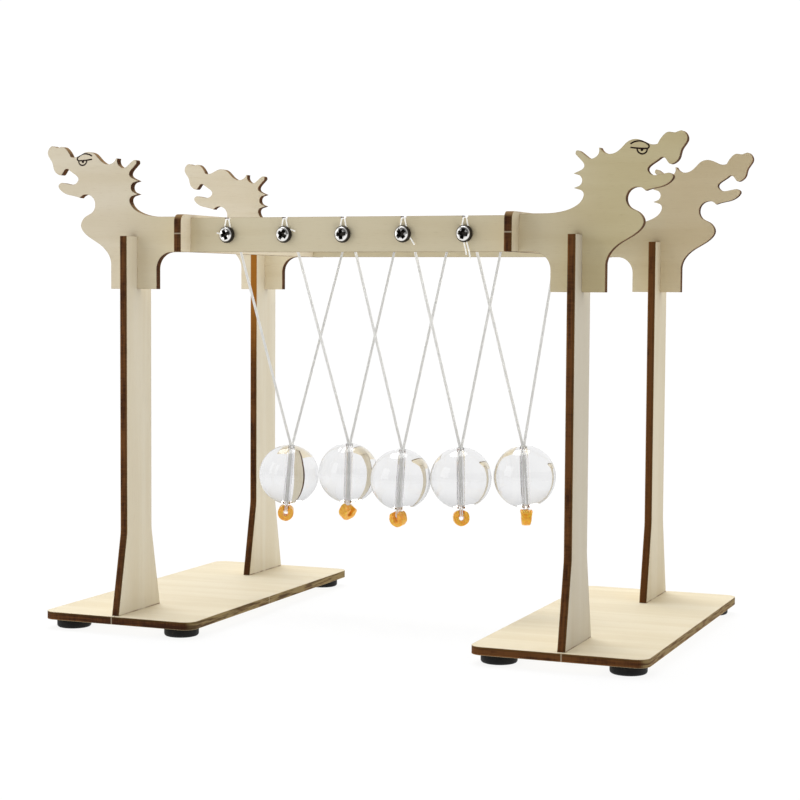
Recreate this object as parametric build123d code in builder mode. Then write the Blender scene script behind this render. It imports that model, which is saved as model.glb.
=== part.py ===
from build123d import *
import os

# Desktop Newton's cradle: laser-cut plywood frame with dragon-head rails and five clear balls.
# Millimetres. +X runs along the rails, +Y from the front rail to the rear rail, +Z up.
# The origin is on the table, in the middle of the eight rubber feet.

os.makedirs("parts", exist_ok=True)

# ---- driving dimensions -------------------------------------------------------------------
PLY = 2.5  # plywood thickness, frame parts
FIT = 0.02  # gap on each side of a plywood joint

BALL_RADIUS = 10.1
BALL_PLACES = [  # each centre, as the unevenly knotted strings and the crowded row leave it
    (-41.3, 0.0, 46.8),
    (-20.2, 2.2, 48.0),
    (0.3, -1.7, 47.1),
    (20.9, 0.0, 48.3),
    (42.8, 0.0, 49.7),
]
BALL_LEANS = [5.2, 1.5, 3.4, -0.9, -3.1]  # degrees, tops of the bores towards +X
BORE_RADIUS = 1.0
BORE_CHAMFER = 0.15

FOOT_RADIUS = 5.5
FOOT_HEIGHT = 3.0
FOOT_INSET = 7.3  # foot centre from the base plate's edges

BASE_WIDTH = 54.0
BASE_DEPTH = 123.0
BASE_CORNER = 4.0
BASE_X = 72.9  # its slots sit a little outside its middle

POST_X = 74.0
RAIL_Y = 46.5  # middle of a rail's thickness
POST_WIDTH = 15.5
POST_FOOT_WIDTH = 26.5
POST_KNEE_HEIGHT = 26.0  # from the base plate to where the flare ends
POST_KNEE_RADIUS = 12.0
POST_HEIGHT = 120.8  # from the base plate to the top
TENON_WIDTH = 11.2

RAIL_BOTTOM = 121.3
RAIL_HEIGHT = 10.8
LEG_WIDTH = 16.6
LEG_BOTTOM = 109.5
LEG_ARCH = 5.4  # radius where a leg meets the bar

CROSS_X = 54.6
CROSS_REACH = 54.2  # from the middle to each end
CROSS_RISE = 1.0  # how far it stands over the rails
CROSS_CORNER = 2.5

NOTCH_PITCH = 19.8  # string notches and their screws, along a rail
NOTCH_SHIFT = 0.6  # the notches sit this far to the left on a rail's outer face
NOTCH_WIDTH = 1.8
NOTCH_DEPTH = 0.8

SCREW_HEAD_RADIUS = 2.6
SCREW_HEAD_HEIGHT = 1.9
SCREW_RIM = 0.5  # upright part of the head's edge
SCREW_SHANK_RADIUS = 1.2
SCREW_LENGTH = 4.4  # shank, from the head's underside
SCREW_STAND_OFF = 0.48  # the string is clamped in this gap under the head
RECESS_LENGTH = 2.9  # cross recess
RECESS_WIDTH = 0.75
RECESS_DEPTH = 1.3

EYE_LINE = 0.45  # width of an engraved line
EYE_DEPTH = 0.12

STRAND_RADIUS = 0.22
STRAND_SPREAD = 0.24  # half the distance between the two strands
STRAND_SPREAD_SCREW = 0.5  # and where they come down over a rail's outer face
STRAND_SPREAD_BORE = 0.32  # and where they leave a ball's bore
STRAND_BORE_OFFSET = 0.6  # front and rear pairs, from the bore's axis
STRAND_INLET_OFFSET = 1.15  # and where they turn into the stopper
STRAND_LIFT = 0.45  # above the stopper's axis
STRING_RADII = [0.6, 1.0, 0.5, 0.35]  # bends from a rail to the middle of the stopper
LOOP_HALF_WIDTH = 1.72
CLAMP_RADII = [2.0, 0.3, 1.38, 1.38, 0.3, 2.0]
STRING_TAILS = {  # cut ends, from the screw's axis: where each leaves the head, and its tip
    1: [((-2.1, 0.2), (-3.6, 0.6))],
    2: [((1.95, 1.55), (3.7, 1.0))],
    4: [((2.1, -1.0), (3.9, -3.2))],
    5: [((-0.4, -2.2), (0.9, -6.2)), ((0.5, -2.2), (2.3, -7.5))],
}
TAIL_LEAN = 0.25  # how far a tip stands off the rail, as a part of the tail's length

STOPPER_RADIUS = 2.6
STOPPER_BORE_RADIUS = 0.85
STOPPER_LENGTH = 3.2
STOPPER_GAP = 0.45  # below the ball
STOPPER_TURNS = [22, 66, -14, 26, -68]  # degrees from the Y axis, seen from above
STOPPER_EDGE = 0.3
PINCH_MOUTH = 1.9  # the slit that the string presses into each end of the soft tube
PINCH_FLOOR = 1.2
PINCH_WEB = 0.8  # what is left between the two slits

# ---- derived ------------------------------------------------------------------------------
BASE_BOTTOM = FOOT_HEIGHT
BASE_TOP = FOOT_HEIGHT + PLY
RAIL_TOP = RAIL_BOTTOM + RAIL_HEIGHT
RAIL_MIDDLE = RAIL_BOTTOM + RAIL_HEIGHT / 2
RAIL_OUTER = RAIL_Y + PLY / 2
RAIL_INNER = RAIL_Y - PLY / 2
POST_TOP = BASE_TOP + POST_HEIGHT
JOINT_MIDDLE = (LEG_BOTTOM + POST_TOP) / 2
SLOT = PLY + 2 * FIT
NOTCH_X = [(i - (len(BALL_PLACES) - 1) / 2) * NOTCH_PITCH for i in range(len(BALL_PLACES))]
STRING_HEIGHT = RAIL_TOP - NOTCH_DEPTH + STRAND_RADIUS + FIT  # strand centres in the notches
SWING_START = RAIL_INNER - 0.3  # where the swinging length of a string begins
STOPPER_DROP = BALL_RADIUS + STOPPER_GAP + STOPPER_RADIUS  # from a ball's centre


def finish(builder, name):
    """Labels a finished piece and writes it."""
    builder.part.label = name
    export_step(builder.part, f"parts/{name}.step")


# ---- base plates --------------------------------------------------------------------------
for side, sign in (("left", -1), ("right", 1)):
    with BuildPart() as base_plate:
        with BuildSketch(Plane.XY.offset(BASE_BOTTOM)):
            with Locations((sign * BASE_X, 0)):
                RectangleRounded(BASE_WIDTH, BASE_DEPTH, BASE_CORNER)
            with Locations((sign * POST_X, RAIL_Y), (sign * POST_X, -RAIL_Y)):
                Rectangle(SLOT, TENON_WIDTH + 2 * FIT, mode=Mode.SUBTRACT)
        extrude(amount=PLY)
    finish(base_plate, f"base_plate_{side}")

# ---- rubber feet --------------------------------------------------------------------------
for side, sign in (("left", -1), ("right", 1)):
    for row, row_sign in (("front", -1), ("rear", 1)):
        for edge, edge_sign in (("inner", -1), ("outer", 1)):
            foot_x = sign * (BASE_X + edge_sign * (BASE_WIDTH / 2 - FOOT_INSET))
            foot_y = row_sign * (BASE_DEPTH / 2 - FOOT_INSET)
            with BuildPart() as rubber_foot:
                with BuildSketch():
                    with Locations((foot_x, foot_y)):
                        Circle(FOOT_RADIUS)
                extrude(amount=FOOT_HEIGHT)
                fillet(rubber_foot.edges().sort_by(Axis.Z)[0], radius=0.9)
            finish(rubber_foot, f"rubber_foot_{side}_{row}_{edge}")

# ---- posts --------------------------------------------------------------------------------
for side, sign in (("left", -1), ("right", 1)):
    for row, row_sign in (("front", -1), ("rear", 1)):
        post_origin = (sign * POST_X - PLY / 2, row_sign * RAIL_Y, 0)
        with BuildPart() as post:
            with BuildSketch(Plane(origin=post_origin, x_dir=(0, 1, 0), z_dir=(1, 0, 0))):
                with BuildLine():
                    Polyline(
                        (0, BASE_BOTTOM),
                        (TENON_WIDTH / 2, BASE_BOTTOM),
                        (TENON_WIDTH / 2, BASE_TOP),
                        (POST_FOOT_WIDTH / 2, BASE_TOP),
                        (POST_WIDTH / 2, BASE_TOP + POST_KNEE_HEIGHT),
                        (POST_WIDTH / 2, POST_TOP),
                        (SLOT / 2, POST_TOP),
                        (SLOT / 2, JOINT_MIDDLE - FIT),
                        (0, JOINT_MIDDLE - FIT),
                    )
                    mirror(about=Plane.YZ)
                make_face()
            extrude(amount=PLY)
            knees = post.edges().filter_by(Axis.X).group_by(Axis.Z)[2]
            fillet(knees, radius=POST_KNEE_RADIUS)
        finish(post, f"post_{side}_{row}")


# ---- rails with dragon heads --------------------------------------------------------------
def head(*points):
    """Turns points measured from a leg's middle and the rail's top into points of the rail."""
    return [(POST_X + x, RAIL_TOP + z) for x, z in points]


def right_half_outline():
    """One half of a rail, from the middle of its top edge round the head to its bottom edge."""
    leg = LEG_WIDTH / 2
    arch_height = RAIL_BOTTOM - LEG_ARCH
    back = head((-19, 0), (-8.5, 0.5), (-2, 1.9), (1.1, 4.4), (1.5, 6), (0.6, 7.1))
    low_mane = head((-0.1, 8.2), (1, 10), (0.1, 11.4))
    high_mane = head((0.3, 12.7), (1.6, 14.3), (0.4, 16), (-1.1, 17.6))
    crest = head((-1.1, 17.6), (-0.8, 18.5), (1.5, 17.4), (3.7, 16.1), (5.4, 16.9), (5.9, 19.2))
    brow = head((6.4, 19.2), (7.3, 18), (9.8, 17.4), (12.4, 18.8), (14.8, 21), (17.5, 21.4), (20.6, 20.1))
    nose_bridge = head((23.3, 20))
    nose = head((24.7, 22.2), (26.4, 23.3), (28.3, 23.1), (30.2, 23.6), (31.9, 21.5), (30.2, 18.2))
    upper_lip = head((29.6, 16), (28.4, 14.6), (27, 14.2), (25.6, 15.8), (24.1, 16))
    mouth = head((24.1, 16), (22, 14.5), (20.4, 12.7), (21.3, 11.4), (24, 11.2), (26.7, 11.7))
    jaw = head((26.7, 11.7), (27.9, 10.7), (26.2, 8.6), (22.9, 7.5), (19.9, 6.7))
    throat = head((19.9, 6.7), (17.3, 7.8), (15, 6.7), (14.2, 4), (15.3, 2))
    chest = head((17.7, 0.7), (19.5, -2.2), (17.4, -5.3), (12.5, -8.3), (9.4, -11.3), (leg, -14.4))
    Line((0, RAIL_TOP), back[0])
    Spline(back)
    Polyline(back[-1], *head((-1.5, 7.7)), low_mane[0])
    ThreePointArc(*low_mane)
    Polyline(low_mane[-1], *head((-1.6, 11.9)), high_mane[0])
    Spline(high_mane)
    Spline(crest)
    Line(crest[-1], brow[0])
    Spline(brow + nose_bridge)
    Spline(nose_bridge + nose + upper_lip)
    Spline(mouth)
    Spline(jaw)
    Spline(throat + chest)
    Polyline(
        chest[-1],
        (POST_X + leg, LEG_BOTTOM),
        (POST_X - leg, LEG_BOTTOM),
        (POST_X - leg, arch_height),
    )
    RadiusArc((POST_X - leg, arch_height), (POST_X - leg - LEG_ARCH, RAIL_BOTTOM), -LEG_ARCH)
    Line((POST_X - leg - LEG_ARCH, RAIL_BOTTOM), (0, RAIL_BOTTOM))


eye_lines = [
    head((15.3, 20.1), (17.5, 20.9), (19.9, 20.3), (20.8, 19.2), (20.3, 18.7)),
    head((15.3, 19.1), (17.8, 18.8), (20.3, 18.7)),
    head((17.3, 18.8), (17.6, 17.8), (18.7, 17.2), (19.9, 17.6), (20.2, 18.6)),
]
pupil = head((18.7, 18.4))[0]

for row, outer_offset, inward in (("front", RAIL_OUTER, -1), ("rear", -RAIL_OUTER, 1)):
    outer_face = Plane.XZ.offset(outer_offset)
    with BuildPart() as rail:
        with BuildSketch(outer_face) as silhouette:
            with BuildLine():
                right_half_outline()
                mirror(about=Plane.YZ)
            make_face()
            with Locations((POST_X, LEG_BOTTOM), (-POST_X, LEG_BOTTOM)):
                Rectangle(SLOT, 2 * (JOINT_MIDDLE - LEG_BOTTOM), mode=Mode.SUBTRACT)
            with Locations((CROSS_X, RAIL_TOP), (-CROSS_X, RAIL_TOP)):
                Rectangle(SLOT, RAIL_HEIGHT, mode=Mode.SUBTRACT)
            with Locations(*[(x + inward * NOTCH_SHIFT, RAIL_TOP) for x in NOTCH_X]):
                RectangleRounded(NOTCH_WIDTH, 2 * NOTCH_DEPTH, NOTCH_WIDTH / 4, mode=Mode.SUBTRACT)
            with Locations(*[(x + inward * NOTCH_SHIFT, RAIL_MIDDLE) for x in NOTCH_X]):
                Circle(SCREW_SHANK_RADIUS + FIT, mode=Mode.SUBTRACT)
        extrude(amount=inward * PLY)
        with BuildSketch(outer_face):
            for points in eye_lines:
                with BuildLine() as eye_line:
                    Spline(points)
                trace(eye_line.line, line_width=EYE_LINE)
            with Locations(pupil):
                Circle(EYE_LINE)
            mirror(about=Plane.YZ)
        extrude(amount=inward * EYE_DEPTH, mode=Mode.SUBTRACT)
    finish(rail, f"{row}_rail")

# ---- cross pieces -------------------------------------------------------------------------
for side, sign in (("left", -1), ("right", 1)):
    cross_origin = (sign * CROSS_X - PLY / 2, 0, 0)
    cross_top = RAIL_TOP + CROSS_RISE
    with BuildPart() as cross_piece:
        with BuildSketch(Plane(origin=cross_origin, x_dir=(0, 1, 0), z_dir=(1, 0, 0))) as outline:
            with Locations((0, (RAIL_BOTTOM + cross_top) / 2)):
                Rectangle(2 * CROSS_REACH, cross_top - RAIL_BOTTOM)
            fillet(outline.vertices().group_by(Axis.Y)[-1], radius=CROSS_CORNER)
            with Locations((RAIL_Y, RAIL_BOTTOM), (-RAIL_Y, RAIL_BOTTOM)):
                Rectangle(SLOT, RAIL_HEIGHT + 2 * FIT, mode=Mode.SUBTRACT)
        extrude(amount=PLY)
    finish(cross_piece, f"cross_piece_{side}")

# ---- screws: pan heads outwards, tips through the rails --------------------------------------
for row, row_sign in (("front", -1), ("rear", 1)):
    head_underside = RAIL_OUTER + SCREW_STAND_OFF
    head_top = head_underside + SCREW_HEAD_HEIGHT
    tip = head_underside - SCREW_LENGTH
    dome_height = SCREW_HEAD_HEIGHT - SCREW_RIM
    dome_radius = (SCREW_HEAD_RADIUS**2 + dome_height**2) / (2 * dome_height)
    with BuildPart() as screws:
        for x in NOTCH_X:
            screw_x = x + row_sign * NOTCH_SHIFT
            screw_plane = Plane((screw_x, 0, RAIL_MIDDLE), x_dir=(1, 0, 0), z_dir=(0, row_sign, 0))
            with BuildSketch(Plane(screw_plane.origin, x_dir=(0, row_sign, 0), z_dir=(1, 0, 0))):
                with BuildLine():
                    Polyline(
                        (head_top, 0),
                        (tip, 0),
                        (tip + SCREW_SHANK_RADIUS, SCREW_SHANK_RADIUS),
                        (head_underside, SCREW_SHANK_RADIUS),
                        (head_underside, SCREW_HEAD_RADIUS),
                        (head_underside + SCREW_RIM, SCREW_HEAD_RADIUS),
                    )
                    RadiusArc((head_underside + SCREW_RIM, SCREW_HEAD_RADIUS), (head_top, 0), dome_radius)
                make_face()
            revolve(axis=Axis(screw_plane.origin, screw_plane.z_dir))
            with BuildSketch(screw_plane.offset(head_top)):
                Rectangle(RECESS_LENGTH, RECESS_WIDTH)
                Rectangle(RECESS_WIDTH, RECESS_LENGTH)
            extrude(amount=-RECESS_DEPTH, mode=Mode.SUBTRACT)
    finish(screws, f"{row}_screws")


# ---- balls, stoppers and strings ------------------------------------------------------------
# Each string is a doubled strand. It is clamped under a front screw, runs over the front rail,
# down through its ball, through the stopper that holds the ball up, and back up to a rear screw.
# The swinging length and the two clamped ends are separate pieces that meet on the swing axis.
# The cut ends stick out from under the front screws.
def swinging_route(x, spread, ball_plane, stopper_plane, row_sign):
    """Half of one strand, from a rail down to the middle of the stopper."""
    notch_x = x + row_sign * NOTCH_SHIFT + spread * STRAND_SPREAD
    in_bore = (row_sign * STRAND_BORE_OFFSET, -spread * STRAND_SPREAD_BORE, STOPPER_DROP - BALL_RADIUS)
    in_stopper = (row_sign * STRAND_INLET_OFFSET, -spread * STRAND_SPREAD_BORE, STRAND_LIFT)
    return [
        Vector(notch_x, row_sign * SWING_START, STRING_HEIGHT),
        Vector(notch_x, row_sign * (SWING_START - 0.4), STRING_HEIGHT),
        ball_plane.from_local_coords((spread * STRAND_SPREAD, row_sign * STRAND_BORE_OFFSET, BALL_RADIUS)),
        stopper_plane.from_local_coords(in_bore),
        stopper_plane.from_local_coords(in_stopper),
    ]


def clamped_route(screw_x, row_sign):
    """A loop over a rail's top, down its outer face and round a screw's shank."""
    face_y = row_sign * (RAIL_OUTER + STRAND_RADIUS + FIT)
    loop_bottom = RAIL_MIDDLE - SCREW_SHANK_RADIUS - 2 * STRAND_RADIUS
    down = [
        Vector(screw_x - STRAND_SPREAD, row_sign * SWING_START, STRING_HEIGHT),
        Vector(screw_x - STRAND_SPREAD, row_sign * (SWING_START + 0.4), STRING_HEIGHT),
        Vector(screw_x - STRAND_SPREAD_SCREW, face_y, STRING_HEIGHT),
        Vector(screw_x - LOOP_HALF_WIDTH, face_y, loop_bottom),
    ]
    up = [Vector(2 * screw_x - point.X, point.Y, point.Z) for point in reversed(down)]
    return down + up


def tail_ends(screw_x, start, tip):
    """Start, tip and first direction of a cut end that curls away from the front rail."""
    direction = Vector(tip[0] - start[0], 0, tip[1] - start[1])
    face = Vector(screw_x + start[0], -RAIL_OUTER - STRAND_RADIUS - FIT, RAIL_MIDDLE + start[1])
    return face, face + direction - Vector(0, TAIL_LEAN * direction.length, 0), direction


for number, x in enumerate(NOTCH_X, start=1):
    ball_plane = Plane(BALL_PLACES[number - 1]).rotated((0, BALL_LEANS[number - 1], 0))
    stopper_middle = ball_plane.offset(-STOPPER_DROP).location
    stopper_plane = Plane(stopper_middle * Rotation(0, 0, 90 + STOPPER_TURNS[number - 1]))
    across = Plane(stopper_plane.origin, x_dir=stopper_plane.y_dir, z_dir=stopper_plane.x_dir)

    with BuildPart() as ball:
        with Locations(ball_plane):
            Sphere(BALL_RADIUS)
            Cylinder(BORE_RADIUS, 3 * BALL_RADIUS, mode=Mode.SUBTRACT)
        chamfer(ball.edges().filter_by(GeomType.CIRCLE), length=BORE_CHAMFER)
    finish(ball, f"ball_{number}")

    with BuildPart() as stopper:
        with BuildSketch(across):
            Circle(STOPPER_RADIUS)
            Circle(STOPPER_BORE_RADIUS, mode=Mode.SUBTRACT)
        extrude(amount=STOPPER_LENGTH / 2, both=True)
        rims = stopper.edges().filter_by(GeomType.CIRCLE).group_by(SortBy.RADIUS)[-1]
        fillet(rims, radius=STOPPER_EDGE)
        for end in (-1, 1):
            with BuildSketch(across.offset(end * PINCH_WEB / 2)):
                with BuildLine():
                    Polyline(
                        (-PINCH_FLOOR / 2, 0),
                        (-PINCH_MOUTH / 2, STOPPER_RADIUS),
                        (PINCH_MOUTH / 2, STOPPER_RADIUS),
                        (PINCH_FLOOR / 2, 0),
                        close=True,
                    )
                make_face()
            extrude(amount=end * STOPPER_LENGTH, mode=Mode.SUBTRACT)
    finish(stopper, f"stopper_{number}")

    with BuildPart() as string:
        for spread in (-1, 1):
            front = swinging_route(x, spread, ball_plane, stopper_plane, -1)
            rear = swinging_route(x, spread, ball_plane, stopper_plane, 1)
            with BuildLine() as route:
                FilletPolyline(*front, *reversed(rear), radius=STRING_RADII + STRING_RADII[::-1])
            with BuildSketch(Plane(origin=route.line @ 0, z_dir=route.line % 0)):
                Circle(STRAND_RADIUS)
            sweep(path=route.line)
    finish(string, f"string_{number}")

    for row, row_sign in (("front", -1), ("rear", 1)):
        screw_x = x + row_sign * NOTCH_SHIFT
        with BuildPart() as clamped_end:
            with BuildLine() as route:
                FilletPolyline(*clamped_route(screw_x, row_sign), radius=CLAMP_RADII)
            with BuildSketch(Plane(origin=route.line @ 0, z_dir=route.line % 0)):
                Circle(STRAND_RADIUS)
            sweep(path=route.line)
            for start, tip in STRING_TAILS.get(number, []) if row == "front" else []:
                tail_start, tail_tip, direction = tail_ends(screw_x, start, tip)
                with BuildLine() as tail:
                    TangentArc(tail_start, tail_tip, tangent=direction)
                with BuildSketch(Plane(origin=tail_start, z_dir=direction)):
                    Circle(STRAND_RADIUS)
                sweep(path=tail.line)
        finish(clamped_end, f"string_{number}_{row}_end")
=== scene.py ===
import math

import bmesh
import bpy
from mathutils import Matrix, Vector, noise


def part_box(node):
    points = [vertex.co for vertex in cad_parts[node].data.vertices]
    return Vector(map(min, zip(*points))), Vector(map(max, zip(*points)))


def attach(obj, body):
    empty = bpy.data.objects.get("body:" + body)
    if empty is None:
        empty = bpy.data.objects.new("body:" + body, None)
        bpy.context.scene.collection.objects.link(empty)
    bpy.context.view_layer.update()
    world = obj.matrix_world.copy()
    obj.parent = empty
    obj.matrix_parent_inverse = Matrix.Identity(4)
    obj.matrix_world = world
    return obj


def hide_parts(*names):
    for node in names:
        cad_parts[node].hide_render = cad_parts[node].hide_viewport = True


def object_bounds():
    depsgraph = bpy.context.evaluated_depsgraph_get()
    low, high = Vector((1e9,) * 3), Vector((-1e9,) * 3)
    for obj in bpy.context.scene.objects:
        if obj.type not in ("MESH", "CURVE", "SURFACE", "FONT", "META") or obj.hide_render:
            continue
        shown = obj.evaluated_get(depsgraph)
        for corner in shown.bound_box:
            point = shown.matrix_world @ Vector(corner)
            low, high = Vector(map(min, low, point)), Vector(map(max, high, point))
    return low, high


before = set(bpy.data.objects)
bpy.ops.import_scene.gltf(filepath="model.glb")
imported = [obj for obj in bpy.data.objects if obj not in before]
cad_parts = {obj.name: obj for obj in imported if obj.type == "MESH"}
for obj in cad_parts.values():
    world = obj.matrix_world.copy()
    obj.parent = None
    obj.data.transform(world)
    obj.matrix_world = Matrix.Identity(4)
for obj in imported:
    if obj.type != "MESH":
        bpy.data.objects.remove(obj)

cad_low, cad_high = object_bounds()

# ---- measures, in metres ------------------------------------------------------------------
MM = 0.001
BALL_COUNT = 5
SIDES = ("left", "right")
ROWS = ("front", "rear")

BORE_RADIUS = 1.0 * MM
BORE_LIP = 0.15 * MM
BALL_LEANS = [5.2, 1.5, 3.4, -0.9, -3.1]  # degrees, tops of the bores towards +X

NOTCH_PITCH = 19.8 * MM
NOTCH_SHIFT = 0.6 * MM
SWING_START = 44.95 * MM  # from the XZ plane to a line's swing axis

STRAND_RADIUS = 0.22 * MM
STRAND_SPREAD = 0.24 * MM  # from the middle of a pair of strands to each strand, in a notch
STRAND_SPREAD_SCREW = 0.5 * MM
STRAND_SPREAD_BORE = 0.32 * MM
STRAND_BORE_OFFSET = 0.6 * MM  # from a bore's axis to the strands of one row
STRAND_INLET_OFFSET = 1.15 * MM
STRAND_LIFT = 0.45 * MM
STRAND_GAP = 0.02 * MM
LEVEL_RUN = 0.4 * MM  # how far a line is level on each side of its swing axis
LOOP_HALF_WIDTH = 1.72 * MM
LOOP_DRAW = 0.05 * MM  # how far a loop spreads where it turns down the rail
STRING_TAILS = {  # cut ends, in mm from the screw's axis: where each leaves the head, and its tip
    1: [((-2.1, 0.2), (-3.6, 0.6))],
    2: [((1.95, 1.55), (3.7, 1.0))],
    4: [((2.1, -1.0), (3.9, -3.2))],
    5: [((-0.4, -2.2), (0.9, -6.2)), ((0.5, -2.2), (2.3, -7.5))],
}
TAIL_LEAN = 0.25  # how far a tip stands off the rail, as a part of the tail's length

SCREW_HEAD_RADIUS = 2.6 * MM
SCREW_HEAD_HEIGHT = 1.9 * MM
SCREW_SHANK_RADIUS = 1.2 * MM
SCREW_LENGTH = 4.4 * MM
SCREW_POINT = 0.9 * MM  # the length without a thread
SCREW_TURNS = [20, 57, 94, 131, 168]  # degrees at which each recess stopped
THREAD_PITCH = 0.45 * MM
THREAD_DEPTH = 0.13 * MM
HEAD_SIDE = 0.55 * MM  # the height of the head's upright side
HEAD_FLAT = 0.42  # the flat top, as a part of the head's radius
HEAD_CURVE = 3.5  # the power with which the head falls away from its flat top
HEAD_ROUND = 0.12 * MM
RECESS_DEPTH = 1.35 * MM
RECESS_MOUTH = (1.75 * MM, 0.62 * MM)  # a blade's reach and half its width
RECESS_FLOOR = (0.8 * MM, 0.35 * MM)

FOOT_ROUND = 0.28  # the rounding of a foot's lower edge, as a part of its height
FOOT_DISH = 0.08  # how deep it is dished, likewise

STOPPER_RADIUS = 2.6 * MM
STOPPER_DROP = 13.15 * MM  # from a ball's centre
STOPPER_TURNS = [22, 66, -14, 26, -68]
STOPPER_TILTS = [-6, -30, -12, 4, 4]  # degrees that each tube rocks in its string loop
TUBE_VOXEL = 0.13 * MM  # the mesh size that softens a tube's edges
TUBE_FLARE = (0.2, 0.1)  # how much the lips widen, along the tube and across it
TUBE_TAPER = 0.14  # how much shorter the tube is below
TUBE_GROWTH = 1.02  # makes up for what the smoothing takes off
TUBE_UNEVEN = 0.035

CAMERA_AZIMUTH = 21.91
CAMERA_ELEVATION = 3.46
CAMERA_ROLL = 0.37
CAMERA_DISTANCE = 0.6229
CAMERA_LENS = 84.6
CAMERA_AIM = Vector((-0.8, 0.0, -4.55)) * MM  # from the middle of the CAD box

LEG_PAINTED_GLOW = 0.02  # painted light: how strongly the clear line glows
BORE_PAINTED_GLOW = 0.09
LOOP_PAINTED_GLOW = 0.2
BORE_HEIGHTS = (60, 56)  # where a line goes into a bead, in mm
FLOOR_GREY = (0.12, 0.12, 0.12)
FLOOR_GLOW = 0.88  # the table is a pale sheet lit from below
FLOOR_RADIUS = 12
SKY_TOWARDS = Vector((0.0, 1.0, 0.1))  # the bright side of the studio
SKY_FADE = (-0.85, 0.3)  # the cosines from that side between which the sky brightens
SKY_DIM = 0.12
SKY_BRIGHT = 1.04
OVERHEAD_FADE = (0.2, 0.75)  # the cosines from straight up between which it dims
SKY_OVERHEAD = 0.8  # how much of that brightness is left high up
SUN_TOWARDS = (-0.25, 0.35, 1.0)
SUN_ANGLE = 40  # degrees across, for soft shadows
SUN_STRENGTH = 1.7  # for the upward faces
BOX_PLACE = (-0.32, -0.32, 0.22)  # a small soft light on the left, in front
BOX_AIM = (-0.05, 0, 0.12)
BOX_SIZE = 0.3
BOX_POWER = 0.45


# ---- node material helpers ----------------------------------------------------------------
class Look:
    """A node material with short calls for the nodes that it is built from."""

    def __init__(self, name):
        self.material = bpy.data.materials.new(name)
        self.material.use_nodes = True
        self.tree = self.material.node_tree
        self.shader = self.tree.nodes["Principled BSDF"]

    def node(self, kind, inputs=(), **settings):
        made = self.tree.nodes.new(kind)
        for key, value in settings.items():
            setattr(made, key, value)
        for key, value in dict(inputs).items():
            self.feed(made.inputs[key], value)
        return made

    def feed(self, socket, value):
        if isinstance(value, bpy.types.NodeSocket):
            self.tree.links.new(value, socket)
        else:
            socket.default_value = value

    def set(self, **values):
        for key, value in values.items():
            self.feed(self.shader.inputs[key.replace("_", " ")], value)

    def math(self, operation, a, b=0.0, c=0.0, clamp=False):
        inputs = {0: a, 1: b, 2: c}
        return self.node("ShaderNodeMath", inputs, operation=operation, use_clamp=clamp).outputs[0]

    def mix(self, factor, a, b, blend="MIX"):
        made = self.node("ShaderNodeMix", data_type="RGBA", blend_type=blend)
        self.feed(made.inputs["Factor"], factor)
        self.feed(made.inputs[6], a if isinstance(a, bpy.types.NodeSocket) else (*a, 1))
        self.feed(made.inputs[7], b if isinstance(b, bpy.types.NodeSocket) else (*b, 1))
        return made.outputs[2]

    def band(self, value, low, high, start=0.0, end=1.0):
        """Maps value from low..high to start..end, smoothly and clamped."""
        inputs = {"Value": value, "From Min": low, "From Max": high, "To Min": start, "To Max": end}
        return self.node("ShaderNodeMapRange", inputs, interpolation_type="SMOOTHSTEP").outputs[0]

    def noise(self, vector, scale, detail=3.0, roughness=0.5, distortion=0.0):
        inputs = {"Vector": vector, "Scale": scale, "Detail": detail}
        inputs.update({"Roughness": roughness, "Distortion": distortion})
        return self.node("ShaderNodeTexNoise", inputs).outputs["Fac"]

    def stretched(self, vector, scale, offset=(0, 0, 0)):
        inputs = {"Vector": vector, "Scale": scale, "Location": offset}
        return self.node("ShaderNodeMapping", inputs).outputs[0]

    def split(self, vector):
        return self.node("ShaderNodeSeparateXYZ", {0: vector}).outputs

    def place(self):
        """The point in the row frame at rest, in millimetres."""
        coordinates = self.node("ShaderNodeTexCoord").outputs["Object"]
        inputs = {0: coordinates, "Scale": 1 / MM}
        return self.node("ShaderNodeVectorMath", inputs, operation="SCALE").outputs[0]

    def bump(self, height, distance, strength=1.0, normal=None):
        inputs = {"Height": height, "Distance": distance, "Strength": strength}
        if normal is not None:
            inputs["Normal"] = normal
        return self.node("ShaderNodeBump", inputs).outputs[0]


# ---- plywood ------------------------------------------------------------------------------
PLY = 2.5
VENEER_PALE = (0.80, 0.725, 0.56)
VENEER_WARM = (0.73, 0.64, 0.46)
PORE_BROWN = (0.50, 0.38, 0.22)
BURN_DARK = (0.045, 0.014, 0.004)
BURN_BROWN = (0.19, 0.073, 0.018)
BURN_OLIVE = (0.085, 0.045, 0.009)
# a tan burn for the smoke near edges, also used as painted light on upward edges
BURN_AND_PAINTED_LIGHT_TAN = (0.42, 0.26, 0.11)
BURN_ORANGE = (0.50, 0.19, 0.02)
PAINTED_LIT_OLIVE = (0.36, 0.27, 0.12)
GLUE_DARK = (0.02, 0.008, 0.004)
RAW_RIM = (0.62, 0.50, 0.31)

PLAIN = (1.0, 1.0, 1.0)
PAINTED_LIGHT_TINTS = {  # painted light and shade: how much lighter or darker each sheet is painted where the light falls on it more or less; a rail has one for its left, middle and right
    "post_left_front": [(1.08, 1.11, 1.18)],
    "post_left_rear": [(1.12, 1.16, 1.25)],
    "post_right_front": [(0.85, 0.87, 0.94)],
    "base_plate_right": [(1.06, 1.06, 1.05)],
    "front_rail": [(1.0, 1.0, 1.03), (0.96, 0.95, 0.89), (0.85, 0.82, 0.65)],
    "rear_rail": [(1.14, 1.15, 1.2), (1.0, 1.0, 0.95), (0.94, 0.89, 0.79)],
    "cross_piece_left": [(1.2, 1.2, 1.23)],
}
LEFT_PAINTED_LIGHT_FADE = (-85, -55)  # along X, in mm
RIGHT_PAINTED_LIGHT_FADE = (58, 86)

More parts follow.
